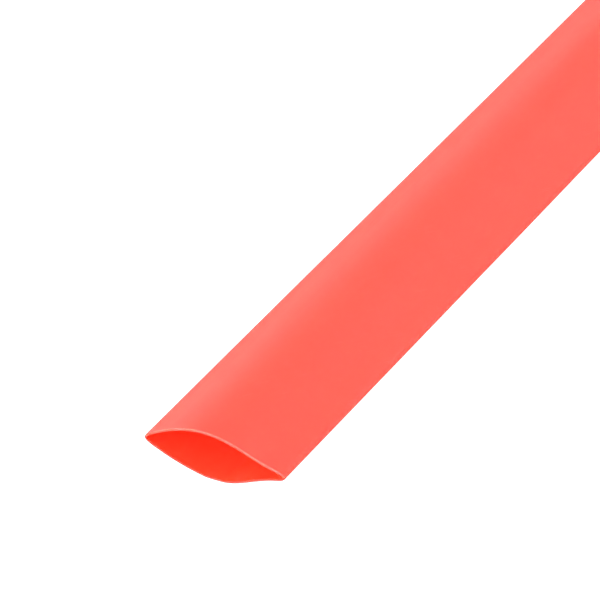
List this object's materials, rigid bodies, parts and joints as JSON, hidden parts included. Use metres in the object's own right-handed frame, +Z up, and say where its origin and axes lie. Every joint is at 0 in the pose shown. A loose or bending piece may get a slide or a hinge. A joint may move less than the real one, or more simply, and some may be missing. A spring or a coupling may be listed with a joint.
{
  "type": "heat shrink tube",
  "caption": "Cut length of thin-walled red heat shrink tube, creased along its edges and standing half open in a pointed lens section.",
  "frame": {"origin": "centre of the tube's footprint, on the plane that it lies on", "axes": "+Y along the tube, away from the mouth that the picture shows; +X across it from one crease to the other; +Z up"},
  "size_m": [0.0194, 0.1524, 0.0066],
  "materials": {
    "red_polyolefin": "satin"
  },
  "bodies": {
    "root": {"heat_shrink_tube": "red_polyolefin"}
  },
  "joints": []
}
